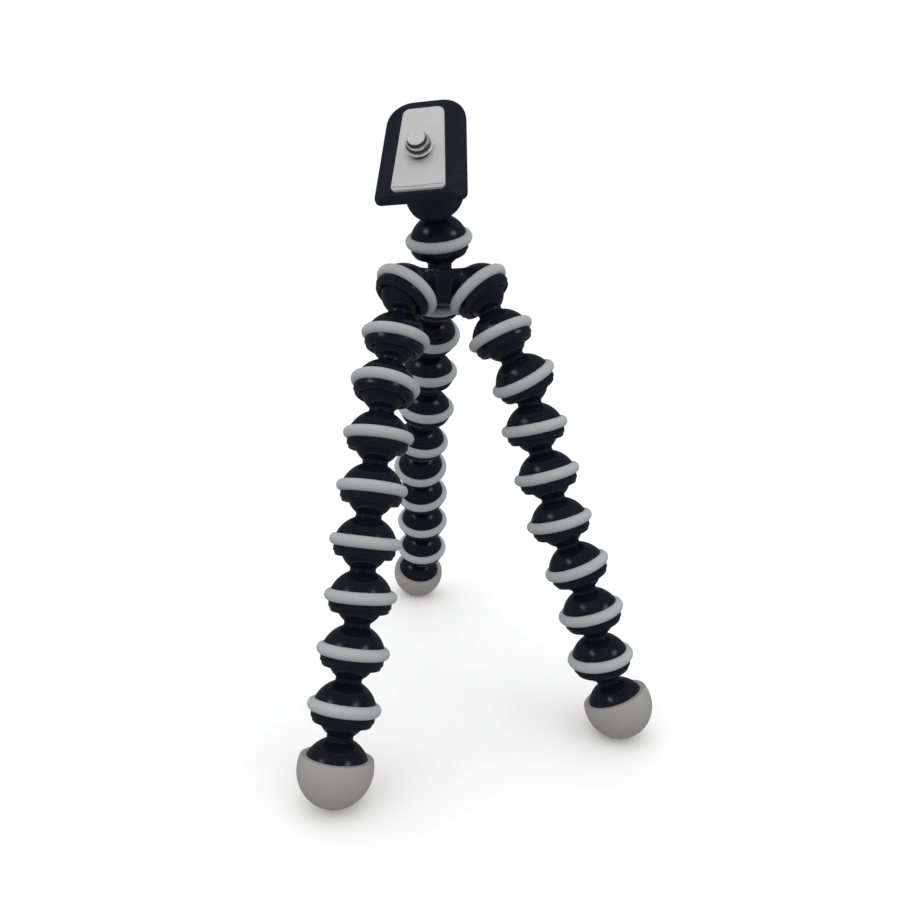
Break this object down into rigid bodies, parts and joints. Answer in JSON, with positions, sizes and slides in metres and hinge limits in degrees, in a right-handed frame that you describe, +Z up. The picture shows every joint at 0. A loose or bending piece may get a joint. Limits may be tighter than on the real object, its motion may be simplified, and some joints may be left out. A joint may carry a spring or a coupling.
{
  "type": "flexible leg tripod",
  "caption": "Small camera tripod with bendable legs of ball jointed links, rubber bands and boots, and a tilting plate with a camera screw.",
  "frame": {"origin": "on the floor, in the middle of the box round the feet's centres", "axes": "+Z up, +X to the right and +Y away from the viewer in the picture"},
  "size_m": [0.0878, 0.1278, 0.1562],
  "materials": {
    "body_plastic": "glossy near black plastic",
    "plate_plastic": "satin black plastic",
    "band_rubber": "light grey rubber",
    "boot_rubber": "light grey rubber",
    "pad_rubber": "light grey rubber",
    "screw_steel": "bright steel"
  },
  "bodies": {
    "hub": {"hub": "body_plastic"},
    "left_link_1": {"left_link_1": "body_plastic", "left_band_1": "band_rubber"},
    "left_link_2": {"left_link_2": "body_plastic", "left_band_2": "band_rubber"},
    "left_link_3": {"left_link_3": "body_plastic", "left_band_3": "band_rubber"},
    "left_link_4": {"left_link_4": "body_plastic", "left_band_4": "band_rubber"},
    "left_link_5": {"left_link_5": "body_plastic", "left_band_5": "band_rubber"},
    "left_link_6": {"left_link_6": "body_plastic", "left_band_6": "band_rubber"},
    "left_link_7": {"left_link_7": "body_plastic", "left_band_7": "band_rubber"},
    "left_link_8": {"left_link_8": "body_plastic", "left_band_8": "band_rubber"},
    "left_foot": {"left_foot": "body_plastic", "left_boot": "boot_rubber"},
    "right_link_1": {"right_link_1": "body_plastic", "right_band_1": "band_rubber"},
    "right_link_2": {"right_link_2": "body_plastic", "right_band_2": "band_rubber"},
    "right_link_3": {"right_link_3": "body_plastic", "right_band_3": "band_rubber"},
    "right_link_4": {"right_link_4": "body_plastic", "right_band_4": "band_rubber"},
    "right_link_5": {"right_link_5": "body_plastic", "right_band_5": "band_rubber"},
    "right_link_6": {"right_link_6": "body_plastic", "right_band_6": "band_rubber"},
    "right_link_7": {"right_link_7": "body_plastic", "right_band_7": "band_rubber"},
    "right_link_8": {"right_link_8": "body_plastic", "right_band_8": "band_rubber"},
    "right_foot": {"right_foot": "body_plastic", "right_boot": "boot_rubber"},
    "back_link_1": {"back_link_1": "body_plastic", "back_band_1": "band_rubber"},
    "back_link_2": {"back_link_2": "body_plastic", "back_band_2": "band_rubber"},
    "back_link_3": {"back_link_3": "body_plastic", "back_band_3": "band_rubber"},
    "back_link_4": {"back_link_4": "body_plastic", "back_band_4": "band_rubber"},
    "back_link_5": {"back_link_5": "body_plastic", "back_band_5": "band_rubber"},
    "back_link_6": {"back_link_6": "body_plastic", "back_band_6": "band_rubber"},
    "back_link_7": {"back_link_7": "body_plastic", "back_band_7": "band_rubber"},
    "back_link_8": {"back_link_8": "body_plastic", "back_band_8": "band_rubber"},
    "back_foot": {"back_foot": "body_plastic", "back_boot": "boot_rubber"},
    "head": {"head_link": "body_plastic", "head_band": "band_rubber"},
    "plate": {"plate": "plate_plastic", "plate_pad": "pad_rubber", "camera_screw": "screw_steel"}
  },
  "joints": [
    {"name": "left_link_1_bend", "type": "hinge", "parent": "hub", "child": "left_link_1", "pos_m": [-0.02294, -0.01146, 0.11139], "axis": [0.9613, -0.2756, 0], "range_deg": [-45, 13]},
    {"name": "left_link_2_bend", "type": "hinge", "parent": "left_link_1", "child": "left_link_2", "pos_m": [-0.02476, -0.01647, 0.09997], "axis": [-0.2338, -0.8153, 0.5297], "range_deg": [-33, 32]},
    {"name": "left_link_3_bend", "type": "hinge", "parent": "left_link_2", "child": "left_link_3", "pos_m": [-0.02682, -0.02282, 0.08929], "axis": [-0.9613, 0.2756, 0], "range_deg": [-24, 42]},
    {"name": "left_link_4_bend", "type": "hinge", "parent": "left_link_3", "child": "left_link_4", "pos_m": [-0.02793, -0.02762, 0.07769], "axis": [0.2538, 0.885, -0.3903], "range_deg": [-33, 33]},
    {"name": "left_link_5_bend", "type": "hinge", "parent": "left_link_4", "child": "left_link_5", "pos_m": [-0.02904, -0.03241, 0.06609], "axis": [0.9613, -0.2756, 0], "range_deg": [-35, 32]},
    {"name": "left_link_6_bend", "type": "hinge", "parent": "left_link_5", "child": "left_link_6", "pos_m": [-0.03021, -0.03678, 0.05433], "axis": [-0.2592, -0.9041, 0.3398], "range_deg": [-36, 31]},
    {"name": "left_link_7_bend", "type": "hinge", "parent": "left_link_6", "child": "left_link_7", "pos_m": [-0.03088, -0.04103, 0.04249], "axis": [-0.9613, 0.2756, 0], "range_deg": [-37, 30]},
    {"name": "left_link_8_bend", "type": "hinge", "parent": "left_link_7", "child": "left_link_8", "pos_m": [-0.03224, -0.04576, 0.03089], "axis": [0.2498, 0.8712, -0.4226], "range_deg": [-34, 33]},
    {"name": "left_foot_bend", "type": "hinge", "parent": "left_link_8", "child": "left_foot", "pos_m": [-0.03379, -0.05086, 0.01947], "axis": [0.9613, -0.2756, 0], "range_deg": [-37, 31]},
    {"name": "right_link_1_bend", "type": "hinge", "parent": "hub", "child": "right_link_1", "pos_m": [-0.00355, -0.00901, 0.11181], "axis": [0.5, 0.866, 0], "range_deg": [-49, 18]},
    {"name": "right_link_2_bend", "type": "hinge", "parent": "right_link_1", "child": "right_link_2", "pos_m": [0.00195, -0.01244, 0.10101], "axis": [0.7762, -0.4481, 0.4435], "range_deg": [-49, 17]},
    {"name": "right_link_3_bend", "type": "hinge", "parent": "right_link_2", "child": "right_link_3", "pos_m": [0.00825, -0.01233, 0.0901], "axis": [-0.5, -0.866, 0], "range_deg": [-20, 40]},
    {"name": "right_link_4_bend", "type": "hinge", "parent": "right_link_3", "child": "right_link_4", "pos_m": [0.01119, -0.01417, 0.07799], "axis": [-0.8139, 0.4699, -0.3416], "range_deg": [-34, 33]},
    {"name": "right_link_5_bend", "type": "hinge", "parent": "right_link_4", "child": "right_link_5", "pos_m": [0.01481, -0.01652, 0.06615], "axis": [0.5, 0.866, 0], "range_deg": [-34, 34]},
    {"name": "right_link_6_bend", "type": "hinge", "parent": "right_link_5", "child": "right_link_6", "pos_m": [0.01842, -0.01887, 0.05431], "axis": [0.7792, -0.4499, 0.4364], "range_deg": [-37, 29]},
    {"name": "right_link_7_bend", "type": "hinge", "parent": "right_link_6", "child": "right_link_7", "pos_m": [0.02347, -0.02111, 0.04298], "axis": [-0.5, -0.866, 0], "range_deg": [-29, 38]},
    {"name": "right_link_8_bend", "type": "hinge", "parent": "right_link_7", "child": "right_link_8", "pos_m": [0.02749, -0.02317, 0.03122], "axis": [-0.8344, 0.4817, -0.2679], "range_deg": [-34, 32]},
    {"name": "right_foot_bend", "type": "hinge", "parent": "right_link_8", "child": "right_foot", "pos_m": [0.03044, -0.0248, 0.01908], "axis": [0.5, 0.866, 0], "range_deg": [-23, 44]},
    {"name": "back_link_1_bend", "type": "hinge", "parent": "hub", "child": "back_link_1", "pos_m": [-0.01531, 0.0064, 0.10927], "axis": [-0.9962, -0.0872, 0], "range_deg": [-32, 35]},
    {"name": "back_link_2_bend", "type": "hinge", "parent": "back_link_1", "child": "back_link_2", "pos_m": [-0.01681, 0.01347, 0.09895], "axis": [-0.0808, 0.9237, 0.3746], "range_deg": [-27, 36]},
    {"name": "back_link_3_bend", "type": "hinge", "parent": "back_link_2", "child": "back_link_3", "pos_m": [-0.01714, 0.01818, 0.08727], "axis": [0.9962, 0.0872, 0], "range_deg": [-32, 34]},
    {"name": "back_link_4_bend", "type": "hinge", "parent": "back_link_3", "child": "back_link_4", "pos_m": [-0.01777, 0.02265, 0.07551], "axis": [0.0793, -0.9064, -0.415], "range_deg": [-29, 37]},
    {"name": "back_link_5_bend", "type": "hinge", "parent": "back_link_4", "child": "back_link_5", "pos_m": [-0.01932, 0.02774, 0.06409], "axis": [-0.9962, -0.0872, 0], "range_deg": [-23, 42]},
    {"name": "back_link_6_bend", "type": "hinge", "parent": "back_link_5", "child": "back_link_6", "pos_m": [-0.01945, 0.03479, 0.05364], "axis": [-0.0772, 0.8825, 0.4639], "range_deg": [-31, 35]},
    {"name": "back_link_7_bend", "type": "hinge", "parent": "back_link_6", "child": "back_link_7", "pos_m": [-0.01893, 0.04068, 0.04252], "axis": [0.9962, 0.0872, 0], "range_deg": [-29, 38]},
    {"name": "back_link_8_bend", "type": "hinge", "parent": "back_link_7", "child": "back_link_8", "pos_m": [-0.01876, 0.0456, 0.03092], "axis": [0.0813, -0.9289, -0.3614], "range_deg": [-32, 35]},
    {"name": "back_foot_bend", "type": "hinge", "parent": "back_link_8", "child": "back_foot", "pos_m": [-0.01892, 0.05016, 0.01917], "axis": [-0.9962, -0.0872, 0], "range_deg": [-29, 37]},
    {"name": "head_bend", "type": "hinge", "parent": "hub", "child": "head", "pos_m": [-0.01443, -0.00295, 0.12368], "axis": [0.9272, -0.3746, 0], "range_deg": [-60, 6]},
    {"name": "plate_tilt", "type": "hinge", "parent": "head", "child": "plate", "pos_m": [-0.0159, -0.00722, 0.13544], "axis": [0.9756, -0.215, 0.0439], "range_deg": [-79, 4]}
  ]
}
